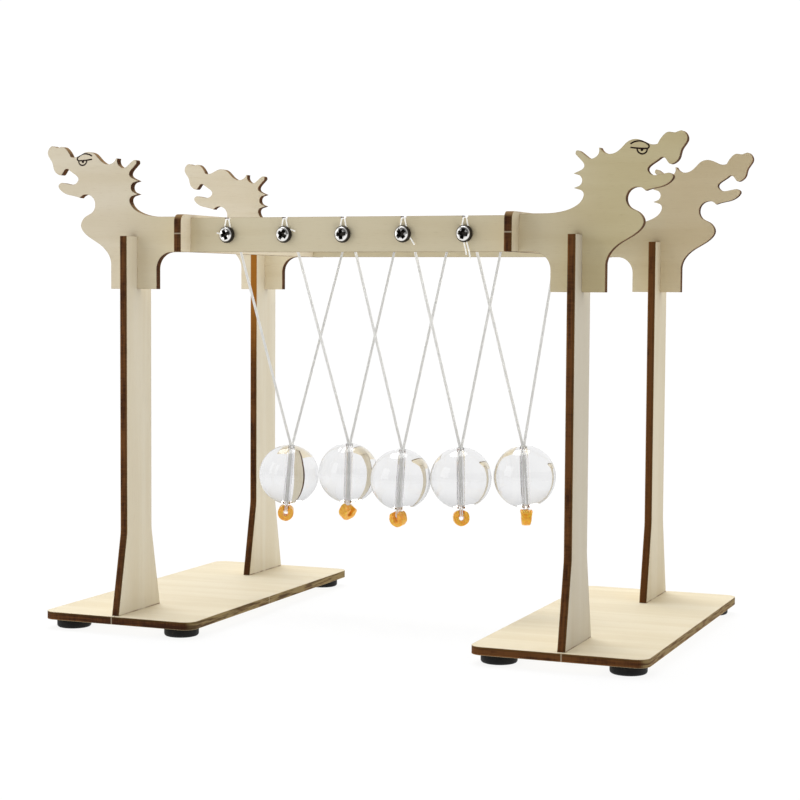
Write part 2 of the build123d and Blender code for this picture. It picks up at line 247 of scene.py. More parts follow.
SHEET_AXES = {  # each sheet's normal and grain
    "base_plate": ("Z", "X"),
    "post": ("X", "Z"),
    "cross_piece": ("X", "Y"),
    "rail": ("Y", "X"),
}
EDGE_LIGHTNESS = {  # how much more or less lightly than the others a sheet's edges are burnt
    "base_plate_left": -0.04,
    "base_plate_right": 0.08,
    "post_right_front": 0.04,
    "post_right_rear": 0.1,
}
ORANGE_TOPS = {"post_left_rear": (70, 115)}  # between these heights its edges turn orange
FACE_COSINE = 0.7  # from the sheet's normal; what leans further belongs to an edge
GRAIN_STEPS = (3.7, 1.3, 2.1)  # how far the grain moves from one piece to the next
PORE_BAND = (0.62, 0.74)
PORE_STRENGTH = 0.28
GLUE_DEPTH = 0.68  # the glue lines' distance from the middle of the sheet
GLUE_BAND = (0.04, 0.12)
CORE_FADE = (0.62, 0.72)  # the darker middle ply, from the middle of the sheet
RIM_FADE = (1.1, 1.22)  # the raw rim of each face, likewise
OLIVE_FADE = (1.7, 1.95)  # the olive ply, from the sheet's lower face
SOOT_AND_SHADE_FADE = (0.5, 0.1)  # above the base plate
SOOT_AND_SHADE_STRENGTH = 0.7
STAIN_WIDTH = 0.45 * MM
EDGE_WEAR = 0.12 * MM  # the rounding of every edge
RELIEF = 0.05 * MM
ENGRAVED_DEPTH = 0.2
ENGRAVED_MARGIN = 0.01  # keeps the outer face itself unburnt
TAB_HALF = 0.2
TAB_BLUR = 0.1
TAB_MARKS = {  # pale nicks where a piece was broken out of its sheet, in mm in the plane of the sheet
    "base_plate_left": [(-74.5, -61.5), (-45.9, -5.7)],
    "base_plate_right": [(74.5, -61.5)],
    "front_rail": [(82.0, 115.7)],
    "rear_rail": [(82.0, 114.3)],
    "cross_piece_left": [(-54.2, 127.0)],
    "cross_piece_right": [(-54.2, 127.0), (54.2, 127.0)],
}
AXES = {"X": 0, "Y": 1, "Z": 2}


class Sheet:
    """One piece of sanded birch plywood with laser-burnt edges: its material and the figures in it."""

    def __init__(self, node, kind, seed):
        self.node, self.kind, self.seed = node, kind, seed
        self.face_axis, self.grain_axis = SHEET_AXES[kind]
        self.look = look = Look(f"ply_{node}")
        self.place = look.place()
        self.x, _, self.z = look.split(self.place)
        geometry = look.node("ShaderNodeNewGeometry")
        self.normal = look.split(geometry.outputs["True Normal"])

        # in the faces: broad tone bands, fine fibres and short pores along the grain
        self.bands = look.noise(self.along_grain(90, 7, 1.0), 1.0, detail=2.0, distortion=0.6)
        self.fibres = look.noise(self.along_grain(9, 0.22, 0.6), 1.0, detail=4.0, roughness=0.65)
        pores = look.noise(self.along_grain(3.2, 0.12, 0.5), 1.0, detail=2.0)
        self.pores = look.band(pores, *PORE_BAND)

        # in the edges: two glue lines, fine marks across the thickness and broad streaks
        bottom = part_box(node)[0][AXES[self.face_axis]] / MM
        self.depth = look.math("SUBTRACT", self.through(self.place), bottom)
        self.from_middle = look.math("ABSOLUTE", look.math("SUBTRACT", self.depth, PLY / 2))
        from_glue = look.math("ABSOLUTE", look.math("SUBTRACT", self.from_middle, GLUE_DEPTH))
        self.glue = look.math("SUBTRACT", 1.0, look.band(from_glue, *GLUE_BAND))
        self.marks = look.noise(self.in_and_through(2.2, 0.25), 1.0, detail=3.0, roughness=0.7)
        self.streaks = look.noise(self.in_and_through(0.12, 1.6, [seed] * 3), 1.0, detail=2.0)

    def through(self, vector):
        """The part of a vector that runs through the sheet's thickness."""
        return self.look.split(vector)[AXES[self.face_axis]]

    def along_grain(self, length, width, depth):
        """The place, counted in a grain figure's length, width and depth."""
        sizes = {self.grain_axis: length, self.face_axis: depth}
        scale = [1 / sizes.get(axis, width) for axis in AXES]
        return self.look.stretched(self.place, scale, [self.seed * step for step in GRAIN_STEPS])

    def in_and_through(self, in_plane, through, offset=(0, 0, 0)):
        """The place, with one scale in the sheet's plane and another through its thickness."""
        scale = [through if axis == self.face_axis else in_plane for axis in AXES]
        return self.look.stretched(self.place, scale, offset)

    def veneer(self):
        look = self.look
        fine = look.math("MULTIPLY", self.fibres, 0.6)
        tone = look.math("MULTIPLY_ADD", look.band(self.bands, 0.3, 0.7), 0.7, fine, clamp=True)
        colour = look.mix(tone, VENEER_PALE, VENEER_WARM)
        return look.mix(look.math("MULTIPLY", self.pores, PORE_STRENGTH), colour, PORE_BROWN)

    def stained(self, face):
        """Smoke on a face, a fraction of a millimetre from each cut edge."""
        look = self.look
        rounded = look.node("ShaderNodeBevel", {"Radius": STAIN_WIDTH}, samples=4).outputs[0]
        near_edge = look.band(look.math("ABSOLUTE", self.through(rounded)), 0.995, 0.75)
        clouds = look.band(look.noise(self.place, 0.35), 0.35, 0.7, 0.25, 0.75)
        return look.mix(look.math("MULTIPLY", near_edge, clouds), face, BURN_AND_PAINTED_LIGHT_TAN)

    # Painted light and shade: each sheet's face is made lighter or darker by its tint, and a rail's changes
    # from left to right.
    def painted_light_tinted(self, face):
        look = self.look
        light_tints = PAINTED_LIGHT_TINTS.get(self.node, [PLAIN])
        light_tint = light_tints[0]
        if len(light_tints) > 1:
            light_tint = look.mix(look.band(self.x, *LEFT_PAINTED_LIGHT_FADE), light_tints[0], light_tints[1])
            light_tint = look.mix(look.band(self.x, *RIGHT_PAINTED_LIGHT_FADE), light_tint, light_tints[2])
        return look.mix(1.0, face, light_tint, "MULTIPLY")

    def sooted_and_shaded(self, face):
        """A patchy dark line where a post stands on its base plate: soot, and painted contact shade."""
        look = self.look
        plate_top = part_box("base_plate_left")[1].z / MM
        above_plate = look.math("SUBTRACT", self.z, plate_top)
        # painted contact shade mixed with soot, just above the base plate
        soot_and_shade = look.band(above_plate, *SOOT_AND_SHADE_FADE, 0.0, SOOT_AND_SHADE_STRENGTH)
        patches = look.band(self.bands, 0.4, 0.6, 0.3, 1.0)
        return look.mix(look.math("MULTIPLY", soot_and_shade, patches), face, BURN_BROWN)

    def burnt_plies(self):
        """Three plies and their glue lines, burnt brown in uneven patches."""
        look = self.look
        patches = look.noise(self.place, 0.09, detail=3.0, roughness=0.6)
        burn = look.math("MULTIPLY_ADD", self.marks, 0.25, look.math("MULTIPLY", patches, 0.35))
        burn = look.math("MULTIPLY_ADD", self.streaks, 0.4, burn)
        lightness = EDGE_LIGHTNESS.get(self.node, 0.0)
        edge = look.mix(look.band(burn, 0.38 - lightness, 0.62 - lightness), BURN_DARK, BURN_BROWN)
        core = look.band(self.from_middle, *CORE_FADE, 1.0, 0.0)
        edge = look.mix(look.math("MULTIPLY", core, 0.3), edge, BURN_DARK)
        edge = look.mix(look.band(self.depth, *OLIVE_FADE, 0.0, 0.55), edge, BURN_OLIVE)
        return look.mix(look.math("MULTIPLY", self.glue, 0.45), edge, GLUE_DARK)

    def weathered_and_painted_lit(self, edge):
        """Painted light on the edges, paler on a base plate's +X-facing edges and on upward edges; also an
        orange top and a raw rim.
        """
        look = self.look
        if self.kind == "base_plate":
            # painted light: a base plate's edges that face +X are painted paler, in patches
            sideways = look.band(self.normal[0], 0.4, 0.8)
            patches = look.band(self.streaks, 0.36, 0.6, 0.15, 0.75)
            edge = look.mix(look.math("MULTIPLY", sideways, patches), edge, PAINTED_LIT_OLIVE)
        # painted light: upward edges are painted paler
        painted_top_light = look.band(self.normal[2], 0.25, 0.75)
        edge = look.mix(look.math("MULTIPLY", painted_top_light, 0.55), edge, BURN_AND_PAINTED_LIGHT_TAN)
        if self.node in ORANGE_TOPS:
            top = look.band(self.z, *ORANGE_TOPS[self.node], 0.0, 0.7)
            edge = look.mix(top, edge, BURN_ORANGE)
        return look.mix(look.band(self.from_middle, *RIM_FADE, 0.0, 0.7), edge, RAW_RIM)

    def nicked(self, edge):
        """The pale marks of the tabs that held the piece in its sheet."""
        look = self.look
        in_sheet = [look.split(self.place)[AXES[axis]] for axis in AXES if axis != self.face_axis]
        for centre in TAB_MARKS.get(self.node, ()):
            away = [look.math("ABSOLUTE", look.math("SUBTRACT", a, b)) for a, b in zip(in_sheet, centre)]
            farther = look.math("MAXIMUM", *away)
            mark = look.band(farther, TAB_HALF + TAB_BLUR, TAB_HALF - TAB_BLUR, 0.0, 0.45)
            edge = look.mix(mark, edge, VENEER_WARM)
        return edge

    def engraved(self, colour):
        """A rail's engraved lines: what lies just under its outer face is burnt."""
        look = self.look
        outer = max(abs(corner.y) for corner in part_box(self.node)) / MM
        low, high = outer - ENGRAVED_DEPTH, outer - ENGRAVED_MARGIN
        distance = look.math("ABSOLUTE", self.through(self.place))
        above, below = look.math("GREATER_THAN", distance, low), look.math("LESS_THAN", distance, high)
        return look.mix(look.math("MULTIPLY", above, below), colour, GLUE_DARK)

    def finish(self, colour, is_edge):
        """Adds the relief of grain and burns, and returns the material."""
        look = self.look
        grain_height = look.math("MULTIPLY_ADD", self.pores, -0.6, self.fibres)
        edge_height = look.math("MULTIPLY_ADD", self.marks, 1.4, self.glue)
        switch = look.math("MULTIPLY", look.math("SUBTRACT", edge_height, grain_height), is_edge)
        height = look.math("ADD", grain_height, switch)
        soft = look.node("ShaderNodeBevel", {"Radius": EDGE_WEAR}, samples=4).outputs[0]
        roughness = look.math("MULTIPLY_ADD", is_edge, 0.2, 0.5)
        roughness = look.math("MULTIPLY_ADD", self.fibres, 0.2, roughness)
        look.set(Base_Color=colour, Roughness=roughness, Normal=look.bump(height, RELIEF, 0.5, soft))
        look.set(Specular_IOR_Level=0.15)
        return look.material


def plywood(node, kind, seed):
    """The material of one plywood piece."""
    sheet = Sheet(node, kind, seed)
    face = sheet.painted_light_tinted(sheet.stained(sheet.veneer()))
    if kind == "post":
        face = sheet.sooted_and_shaded(face)
    edge = sheet.nicked(sheet.weathered_and_painted_lit(sheet.burnt_plies()))
    facing = sheet.look.math("ABSOLUTE", sheet.normal[AXES[sheet.face_axis]])
    is_edge = sheet.look.math("LESS_THAN", facing, FACE_COSINE)
    colour = sheet.look.mix(is_edge, face, edge)
    if kind == "rail":
        colour = sheet.engraved(colour)
    return sheet.finish(colour, is_edge)


# ---- other materials ----------------------------------------------------------------------
ACRYLIC = (0.855, 0.855, 0.86)
MATT_BORE = (1.2, 1.02)  # the radii, in mm, between which a bead becomes matt
ORANGE_DEEP = (0.92, 0.38, 0.025)
ORANGE_PALE = (1.0, 0.56, 0.04)
NYLON_CLEAR = (0.97, 0.97, 0.95)
NYLON_DULL = (0.9, 0.9, 0.89)
NYLON_PAINTED_GLOW = (1, 1, 0.98)
RUBBER_BLACK = (0.004, 0.004, 0.004)
RUBBER_DUST = (0.014, 0.012, 0.01)
NICKEL = (0.86, 0.85, 0.83)
HEAD_SHADE_DARK = (0.045, 0.04, 0.035)
HEAD_SHADE_DEPTHS = (0.25, 0.5)  # under a screw head's top, in mm


def clear_acrylic(name, frame_of_ball):
    """A polished clear bead whose bore is left matt by the drill."""
    look = Look(name)
    place = look.place()
    inputs = {"Vector": place, "Location": frame_of_ball.translation / MM}
    inputs["Rotation"] = frame_of_ball.to_euler()
    in_ball = look.node("ShaderNodeMapping", inputs, vector_type="TEXTURE").outputs[0]
    squares = [look.math("POWER", part, 2) for part in look.split(in_ball)[:2]]
    radius = look.math("SQRT", look.math("ADD", *squares))
    bore = look.band(radius, *MATT_BORE)
    haze = look.noise(place, 0.4, detail=2.0)
    roughness = look.math("MULTIPLY_ADD", bore, 0.16, look.math("MULTIPLY", haze, 0.012))
    look.set(Base_Color=(*ACRYLIC, 1), Roughness=roughness, IOR=1.49, Transmission_Weight=1.0)
    rings = look.noise(look.stretched(in_ball, (0.4, 0.4, 3.0)), 1.0)
    look.set(Normal=look.bump(look.math("MULTIPLY", rings, bore), 0.03 * MM, 0.4))
    return look.material


def orange_rubber(name):
    look = Look(name)
    place = look.place()
    patches = look.noise(place, 0.9, detail=3.0)
    colour = look.mix(look.band(patches, 0.3, 0.7), ORANGE_DEEP, ORANGE_PALE)
    speckle = look.noise(place, 7.0, detail=4.0, roughness=0.7)
    look.set(Base_Color=colour, Roughness=look.math("MULTIPLY_ADD", speckle, 0.25, 0.28))
    look.set(Subsurface_Weight=0.35, Subsurface_Radius=(1.0, 0.35, 0.1), Subsurface_Scale=1.2 * MM)
    look.set(Normal=look.bump(speckle, 0.03 * MM, 0.5), Coat_Weight=0.15, Coat_Roughness=0.3)
    return look.material


def nylon(name, painted_glow, bore_painted_glow):
    """Translucent line with painted light: it glows, with another strength from the beads down."""
    look = Look(name)
    place = look.place()
    painted_glow_strength = look.band(look.split(place)[2], *BORE_HEIGHTS, painted_glow, bore_painted_glow)
    cloud = look.noise(place, 0.8, detail=3.0)
    colour = look.mix(cloud, NYLON_CLEAR, NYLON_DULL)
    fibre = look.noise(look.stretched(place, (6.0, 6.0, 0.8)), 1.0, detail=3.0)
    look.set(Base_Color=colour, Roughness=look.math("MULTIPLY_ADD", fibre, 0.3, 0.22))
    look.set(IOR=1.53, Transmission_Weight=0.3, Normal=look.bump(fibre, 0.02 * MM, 0.4))
    # painted light: an emission glow on the line
    look.set(Emission_Color=(*NYLON_PAINTED_GLOW, 1), Emission_Strength=painted_glow_strength)
    return look.material


def black_rubber(name):
    look = Look(name)
    place = look.place()
    dust = look.noise(place, 0.5, detail=4.0, roughness=0.7)
    colour = look.mix(look.band(dust, 0.45, 0.8), RUBBER_BLACK, RUBBER_DUST)
    grain = look.noise(place, 9.0, detail=2.0)
    look.set(Base_Color=colour, Roughness=look.math("MULTIPLY_ADD", grain, 0.25, 0.5))
    look.set(Normal=look.bump(grain, 0.04 * MM, 0.5), Specular_IOR_Level=0.25)
    return look.material


def bright_steel(name, top):
    """Polished heads, with painted shade in the recess and a painted dark reflection round the rim, both
    also duller.

    top is how far the heads' tops are from the XZ plane, in mm."""
    look = Look(name)
    place = look.place()
    off_top = look.math("SUBTRACT", top, look.math("ABSOLUTE", look.split(place)[1]))
    in_head = look.math("LESS_THAN", off_top, SCREW_HEAD_HEIGHT / MM)
    # painted shade in the recess and a painted dark reflection round the rim, below the heads' tops
    painted_shade = look.math("MULTIPLY", look.band(off_top, *HEAD_SHADE_DEPTHS), in_head)
    colour = look.mix(painted_shade, NICKEL, HEAD_SHADE_DARK)
    scratches = look.noise(look.stretched(place, (9.0, 9.0, 2.0)), 1.0, detail=4.0, roughness=0.7)
    roughness = look.math("MULTIPLY_ADD", scratches, 0.18, 0.1)
    look.set(Base_Color=colour, Metallic=1.0, Roughness=look.math("MULTIPLY_ADD", painted_shade, 0.3, roughness))
    look.set(Normal=look.bump(scratches, 0.008 * MM, 0.3))
    return look.material


def put(piece, material):
    piece.data.materials.clear()
    piece.data.materials.append(material)


# ---- plywood pieces: the CAD nodes themselves ----------------------------------------------
def dress_plywood():
    names = [f"base_plate_{side}" for side in SIDES]
    names += [f"post_{side}_{row}" for side in SIDES for row in ROWS]
    names += [f"cross_piece_{side}" for side in SIDES]
    names += [f"{row}_rail" for row in ROWS]
    for seed, name in enumerate(names, start=1):
        kind = next(k for k in SHEET_AXES if k in name)
        put(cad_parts[name], plywood(name, kind, seed))


dress_plywood()


# ---- mesh helpers -------------------------------------------------------------------------
def new_piece(name, mesh_or_bm, material, body, node):
    """Makes a smooth object that rides on a body and stands for a CAD node."""
    mesh = mesh_or_bm
    if isinstance(mesh_or_bm, bmesh.types.BMesh):
        mesh = bpy.data.meshes.new(name)
        bmesh.ops.recalc_face_normals(mesh_or_bm, faces=mesh_or_bm.faces)
        mesh_or_bm.to_mesh(mesh)
        mesh_or_bm.free()
    piece = bpy.data.objects.new(name, mesh)
    bpy.context.scene.collection.objects.link(piece)
    mesh.shade_smooth()
    put(piece, material)
    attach(piece, body)
    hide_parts(node)
    return piece


def lathe(bm, profile, steps, place=Matrix.Identity(4), swell=None, swollen=()):
    """Turns a closed profile of (radius, height) points about Z and places the solid.

    The points in swollen stand out by swell(turn, height)."""
    rings = []
    for step in range(steps):
        turn = 2 * math.pi * step / steps
        ring = []
        for index, (radius, height) in enumerate(profile):
            if index in swollen:
                radius += swell(turn, height)
            point = Vector((radius * math.cos(turn), radius * math.sin(turn), height))
            ring.append(bm.verts.new(place @ point))
        rings.append(ring)
    count = len(profile)
    for step in range(steps):
        here, there = rings[step], rings[(step + 1) % steps]
        for i in range(count):
            j = (i + 1) % count
            bm.faces.new((here[i], there[i], there[j], here[j]))
    bmesh.ops.remove_doubles(bm, verts=bm.verts, dist=1e-7)


def arc(centre, radius, start, end, steps):
    """Points on a circle, from one angle to another in degrees."""
    turns = [math.radians(start + (end - start) * i / steps) for i in range(steps + 1)]
    return [(centre[0] + radius * math.cos(t), centre[1] + radius * math.sin(t)) for t in turns]


# ---- balls --------------------------------------------------------------------------------
def make_ball(number):
    node = f"ball_{number}"
    low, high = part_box(node)
    centre = (low + high) / 2
    radius = (high.x - low.x) / 2
    mouth = BORE_RADIUS + BORE_LIP
    start = math.degrees(math.acos(mouth / radius))
    profile = arc((0, 0), radius, -start, start, 96)
    bore_end = profile[-1][1] - BORE_LIP
    profile.append((BORE_RADIUS, bore_end))
    bore_steps = 24
    profile += [(BORE_RADIUS, bore_end * (1 - 2 * i / bore_steps)) for i in range(1, bore_steps + 1)]
    lean = Matrix.Rotation(math.radians(BALL_LEANS[number - 1]), 4, "Y")
    place = Matrix.Translation(centre) @ lean
    bm = bmesh.new()
    lathe(bm, profile, 128, place)
    look = clear_acrylic(f"acrylic_{number}", place)
    new_piece(f"bead_{number}", bm, look, f"pendulum_{number}", node)


for number in range(1, BALL_COUNT + 1):
    make_ball(number)


# ---- feet ---------------------------------------------------------------------------------
def make_foot(node, material):
    """A moulded stick-on foot with a rounded lower edge and a shallow dish underneath."""
    low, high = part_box(node)
    radius, height = (high.x - low.x) / 2, high.z - low.z
    round_off = FOOT_ROUND * height
    profile = [(0, height), (radius * 0.97, height), (radius, height * 0.94)]
    profile += arc((radius - round_off, round_off), round_off, 0, -90, 8)
    profile += [(radius * 0.45, 0), (radius * 0.4, 0.06 * height), (0, FOOT_DISH * height)]
    bm = bmesh.new()
    lathe(bm, profile, 72, Matrix.Translation(((low.x + high.x) / 2, (low.y + high.y) / 2, low.z)))
    new_piece(node.replace("rubber_foot", "foot"), bm, material, "frame", node)


foot_look = black_rubber("foot_rubber")
for node in sorted(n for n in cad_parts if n.startswith("rubber_foot")):
    make_foot(node, foot_look)


# ---- screws -------------------------------------------------------------------------------
def thread(turn, height):
    """How far a shank's surface stands out at a turn and a height: a true helix."""
    phase = (height / THREAD_PITCH - turn / (2 * math.pi)) % 1.0
    return THREAD_DEPTH * (1 - abs(2 * phase - 1))


def screw_blank():
    """Pan head upwards with its underside at zero, and a threaded shank below."""
    flat = HEAD_FLAT * SCREW_HEAD_RADIUS
    profile = [(0, SCREW_HEAD_HEIGHT), (flat, SCREW_HEAD_HEIGHT)]
    steps = 16
    for step in range(1, steps + 1):
        part = step / steps
        fall = (SCREW_HEAD_HEIGHT - HEAD_SIDE) * part ** HEAD_CURVE
        profile.append((flat + (SCREW_HEAD_RADIUS - flat) * part, SCREW_HEAD_HEIGHT - fall))
    profile += [(SCREW_HEAD_RADIUS, HEAD_ROUND), (SCREW_HEAD_RADIUS - HEAD_ROUND, 0)]
    profile += [(SCREW_SHANK_RADIUS, 0)]
    core = SCREW_SHANK_RADIUS - THREAD_DEPTH
    threaded_end = SCREW_LENGTH - SCREW_POINT
    rows = 56
    threaded = [(core, -threaded_end * (i + 1) / rows) for i in range(rows)]
    tip = [(core * 0.55, -SCREW_LENGTH + 0.25 * MM), (0, -SCREW_LENGTH)]
    first = len(profile)
    bm = bmesh.new()
    lathe(bm, profile + threaded + tip, 64, swell=thread, swollen=range(first, first + rows))
    return bm


def recess_cutter():
    """A cross of two tapered blades, wider at the mouth."""
    bm = bmesh.new()
    mouth, floor = SCREW_HEAD_HEIGHT + 0.1 * MM, SCREW_HEAD_HEIGHT - RECESS_DEPTH
    for quarter in range(2):
        corners = []
        for height, (reach, half) in ((mouth, RECESS_MOUTH), (floor, RECESS_FLOOR)):
            outline = [(-reach, -half), (reach, -half), (reach, half), (-reach, half)]
            turned = outline if quarter == 0 else [(-y, x) for x, y in outline]
            corners.append([bm.verts.new((x, y, height)) for x, y in turned])
        top, bottom = corners
        bm.faces.new(top)
        bm.faces.new(bottom[::-1])
        for i in range(4):
            j = (i + 1) % 4
            bm.faces.new((top[j], top[i], bottom[i], bottom[j]))
    return bm


def carved(blank, cutter):
    """The blank's mesh with the cutter taken out of it."""
    objects = []
    for name, bm in (("blank", blank), ("cutter", cutter)):
        mesh = bpy.data.meshes.new(name)
        bmesh.ops.recalc_face_normals(bm, faces=bm.faces)
        bm.to_mesh(mesh)
        bm.free()
        objects.append(bpy.data.objects.new(name, mesh))
        bpy.context.scene.collection.objects.link(objects[-1])
    cut = objects[0].modifiers.new("recess", "BOOLEAN")
    cut.object = objects[1]
    cut.solver = "EXACT"
    cut.use_self = True
    bpy.context.view_layer.update()
    evaluated = objects[0].evaluated_get(bpy.context.evaluated_depsgraph_get())
    mesh = bpy.data.meshes.new_from_object(evaluated)
    for piece in objects:
        bpy.data.objects.remove(piece)
    return mesh


def screw_place(number, row_sign):
    """Where a notch and its screw are along a rail."""
    return (number - 1 - (BALL_COUNT - 1) / 2) * NOTCH_PITCH + row_sign * NOTCH_SHIFT


def make_screws(row, material):
    """Five pan heads in a row; each recess stopped at its own angle."""
    node = f"{row}_screws"
    low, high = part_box(node)
    height = (low.z + high.z) / 2
    outwards = -1 if row == "front" else 1
    underside = (low.y if row == "front" else high.y) - outwards * SCREW_HEAD_HEIGHT
    whole = carved(screw_blank(), recess_cutter())
    bm = bmesh.new()
    tip_over = Matrix.Rotation(math.radians(-90 * outwards), 4, "X")
    for number in range(1, BALL_COUNT + 1):
        x = screw_place(number, outwards)
        turn = Matrix.Rotation(math.radians(SCREW_TURNS[number - 1]), 4, "Z")
        copy = whole.copy()
        copy.transform(Matrix.Translation((x, underside, height)) @ tip_over @ turn)
        bm.from_mesh(copy)
    piece = new_piece(f"{row}_pan_heads", bm, material, "frame", node)
    piece.data.set_sharp_from_angle(angle=math.radians(38))


steel_look = bright_steel("nickel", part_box("rear_screws")[1].y / MM)
for row in ROWS:
    make_screws(row, steel_look)


# ---- stoppers: short soft tubes with the string pressed into both ends ---------------------
def make_stopper(number, material):
    node = f"stopper_{number}"
    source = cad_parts[node]
    middle = stopper_place(number)
    mesh = source.data.copy()
    piece = bpy.data.objects.new(f"soft_tube_{number}", mesh)
    bpy.context.scene.collection.objects.link(piece)
    remesh = piece.modifiers.new("remesh", "REMESH")
    remesh.mode = "VOXEL"
    remesh.voxel_size = TUBE_VOXEL
    smooth = piece.modifiers.new("smooth", "SMOOTH")
    smooth.factor = 0.5
    smooth.iterations = 4
    bpy.context.view_layer.update()
    evaluated = piece.evaluated_get(bpy.context.evaluated_depsgraph_get())
    soft = bpy.data.meshes.new_from_object(evaluated)
    bpy.data.objects.remove(piece)
    squash_tube(soft, middle, number)
    bm = bmesh.new()
    bm.from_mesh(soft)
    new_piece(f"soft_tube_{number}", bm, material, f"pendulum_{number}", node)


def squash_tube(mesh, middle, number):
    """Flares the lips beside the string, narrows the bottom and rocks the tube in its loop."""
    back = middle.inverted()
    tilt = Matrix.Rotation(math.radians(STOPPER_TILTS[number - 1]), 4, "Y")
    for vertex in mesh.vertices:
        point = back @ vertex.co
        high = smoothstep(point.z / STOPPER_RADIUS, 0.1, 0.9)
        end = smoothstep(abs(point.x) / STOPPER_RADIUS, 0.2, 0.6)
        point.x *= 1 + TUBE_FLARE[0] * high * end
        point.y *= 1 + TUBE_FLARE[1] * high * end
        point.x *= 1 - TUBE_TAPER * smoothstep(-point.z / STOPPER_RADIUS, 0.0, 1.0)
        grain = noise.noise(point / MM * 0.7 + Vector((number * 9.1, 0, 0)))
        point *= TUBE_GROWTH + TUBE_UNEVEN * grain
        vertex.co = middle @ tilt @ point


def smoothstep(value, low, high):
    t = min(1.0, max(0.0, (value - low) / (high - low)))
    return t * t * (3 - 2 * t)


def ball_place(number):
    """A ball's own frame: its centre, with the bore along Z."""
    low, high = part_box(f"ball_{number}")
    lean = Matrix.Rotation(math.radians(BALL_LEANS[number - 1]), 4, "Y")
    return Matrix.Translation((low + high) / 2) @ lean


def stopper_place(number):
    """A stopper's own frame, with the tube along X and the string above."""
    turn = Matrix.Rotation(math.radians(90 + STOPPER_TURNS[number - 1]), 4, "Z")
    return ball_place(number) @ Matrix.Translation((0, 0, -STOPPER_DROP)) @ turn


stopper_look = orange_rubber("orange_tube")
for number in range(1, BALL_COUNT + 1):
    make_stopper(number, stopper_look)


# ---- strings --------------------------------------------------------------------------------
def new_line(name, routes, material, body, node):
    """A piece of nylon line: one smooth spline for each strand."""
    curve = bpy.data.curves.new(name, "CURVE")
    curve.dimensions = "3D"
    curve.bevel_depth = STRAND_RADIUS
    curve.bevel_resolution = 4
    curve.resolution_u = 5
    curve.use_fill_caps = True
    for route in routes:
        spline = curve.splines.new("NURBS")
        spline.points.add(len(route) - 1)
        for point, place in zip(spline.points, route):
            point.co = (*place, 1)
        spline.order_u = 3
        spline.use_endpoint_u = True
    piece = bpy.data.objects.new(name, curve)
    bpy.context.scene.collection.objects.link(piece)
    put(piece, material)
    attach(piece, body)
    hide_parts(node)


STRAND_STRAIGHT = 12 * STRAND_RADIUS  # where a leg has become straight, past an edge or a mouth
string_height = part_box("string_1")[1].z - STRAND_RADIUS


def half_strand(number, spread, row_sign):
    """Half of one strand, from a rail down to the middle of the stopper."""
    low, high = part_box(f"ball_{number}")
    radius = (high.x - low.x) / 2
    notch_x = screw_place(number, row_sign) + spread * STRAND_SPREAD
    start = Vector((notch_x, row_sign * SWING_START, string_height))
    edge = Vector((notch_x, row_sign * (SWING_START - LEVEL_RUN), string_height))
    in_ball, in_stopper = ball_place(number), stopper_place(number)
    mouth = in_ball @ Vector((spread * STRAND_SPREAD, row_sign * STRAND_BORE_OFFSET, radius))
    across = -spread * STRAND_SPREAD_BORE
    outlet = in_stopper @ Vector((row_sign * STRAND_BORE_OFFSET, across, STOPPER_DROP - radius))
    inlet = in_stopper @ Vector((row_sign * STRAND_INLET_OFFSET, across, STRAND_LIFT))
    leg = (mouth - edge).normalized() * STRAND_STRAIGHT
    down = (outlet - mouth).normalized() * STRAND_STRAIGHT / 2
    return [start, edge, edge + leg, mouth - leg, mouth, mouth + down, outlet - down, outlet, inlet]


def clamped_loop(screw_x, row_sign):
    """A loop over a rail's top, down its outer face and round a screw's shank."""
    face_y = row_sign * (-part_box("front_rail")[0].y + STRAND_RADIUS + STRAND_GAP)
    middle = sum(corner.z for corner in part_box("front_screws")) / 2
    loop_bottom = middle - SCREW_SHANK_RADIUS - 2 * STRAND_RADIUS
    turn_in = 2 * STRAND_RADIUS
    down = [
        Vector((screw_x - STRAND_SPREAD, row_sign * SWING_START, string_height)),
        Vector((screw_x - STRAND_SPREAD, row_sign * (SWING_START + LEVEL_RUN), string_height)),
        Vector((screw_x - STRAND_SPREAD_SCREW, face_y - row_sign * turn_in, string_height)),
        Vector((screw_x - STRAND_SPREAD_SCREW, face_y, string_height)),
        Vector((screw_x - STRAND_SPREAD_SCREW - LOOP_DRAW, face_y, string_height - turn_in)),
        Vector((screw_x - LOOP_HALF_WIDTH, face_y, loop_bottom)),
    ]
    up = [Vector((2 * screw_x - point.x, point.y, point.z)) for point in reversed(down)]
    return down + up


def tail_route(screw_x, start, tip):
    """A cut end that curls away from the front rail."""
    face_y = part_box("front_rail")[0].y - STRAND_RADIUS - STRAND_GAP
    middle = sum(corner.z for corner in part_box("front_screws")) / 2
    face = Vector((screw_x, face_y, middle))
    first = face + Vector((start[0], 0, start[1])) * MM
    run = Vector((tip[0] - start[0], 0, tip[1] - start[1])) * MM
    return [first, first + run * 0.5, first + run - Vector((0, TAIL_LEAN * run.length, 0))]


leg_look = nylon("nylon_leg", LEG_PAINTED_GLOW, BORE_PAINTED_GLOW)
loop_look = nylon("nylon_loop", LOOP_PAINTED_GLOW, LOOP_PAINTED_GLOW)
for number in range(1, BALL_COUNT + 1):
    strands = []
    for spread in (-1, 1):
        front, rear = half_strand(number, spread, -1), half_strand(number, spread, 1)
        strands.append(front + rear[::-1])
    new_line(f"line_{number}", strands, leg_look, f"pendulum_{number}", f"string_{number}")
    for row, row_sign in (("front", -1), ("rear", 1)):
        screw_x = screw_place(number, row_sign)
        routes = [clamped_loop(screw_x, row_sign)]
        if row == "front":
            routes += [tail_route(screw_x, *ends) for ends in STRING_TAILS.get(number, [])]
        node = f"string_{number}_{row}_end"
        new_line(f"line_{number}_{row}_loop", routes, loop_look, "frame", node)


